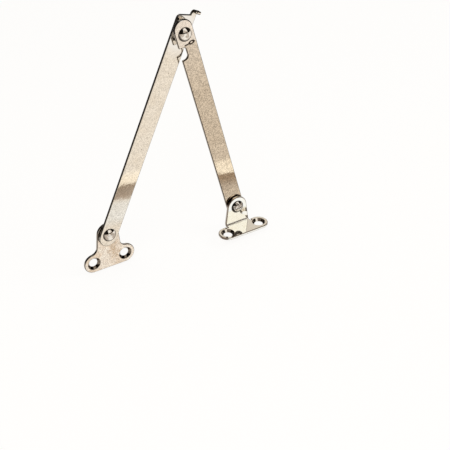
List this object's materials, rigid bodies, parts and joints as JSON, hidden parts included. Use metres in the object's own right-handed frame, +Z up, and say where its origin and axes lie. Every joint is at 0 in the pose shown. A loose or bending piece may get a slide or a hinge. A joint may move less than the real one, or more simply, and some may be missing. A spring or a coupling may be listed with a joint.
{
  "type": "lid stay",
  "caption": "Folding lid stay in nickel-plated steel: strip arms joined by a stop joint, an angle bracket at one end and a flat plate at the other.",
  "frame": {"origin": "middle between the two screw holes of the angle bracket, on the underside of its foot", "axes": "+Z up, normal to the bracket's foot; +X along the bracket's two screw holes; +Y away from the viewer, along every rivet"},
  "size_m": [0.1072, 0.0205, 0.1364],
  "materials": {
    "nickel_arm": "bright nickel plate on rolled strip",
    "nickel_plate": "bright nickel plate on pressed sheet",
    "nickel_rivet": "polished nickel plate",
    "steel_washer": "plain steel"
  },
  "bodies": {
    "bracket": {"angle_bracket": "nickel_plate"},
    "front": {"front_arm": "nickel_arm", "bracket_rivet": "nickel_rivet", "bracket_washer": "steel_washer", "centre_rivet": "nickel_rivet", "centre_spacer": "steel_washer"},
    "back": {"back_arm": "nickel_arm"},
    "plate": {"flat_plate": "nickel_plate", "plate_rivet": "nickel_rivet", "plate_washer": "steel_washer"}
  },
  "joints": [
    {"name": "bracket_pivot", "type": "hinge", "parent": "bracket", "child": "front", "pos_m": [0, 0.0083, 0.0118], "axis": [0, -1, 0], "continuous": true},
    {"name": "centre_pivot", "type": "hinge", "parent": "front", "child": "back", "pos_m": [-0.0297, 0.0113, 0.12186], "axis": [0, -1, 0], "range_deg": [-88, 219]},
    {"name": "plate_pivot", "type": "hinge", "parent": "back", "child": "plate", "pos_m": [-0.07679, 0.0138, 0.01805], "axis": [0, -1, 0], "continuous": true}
  ]
}
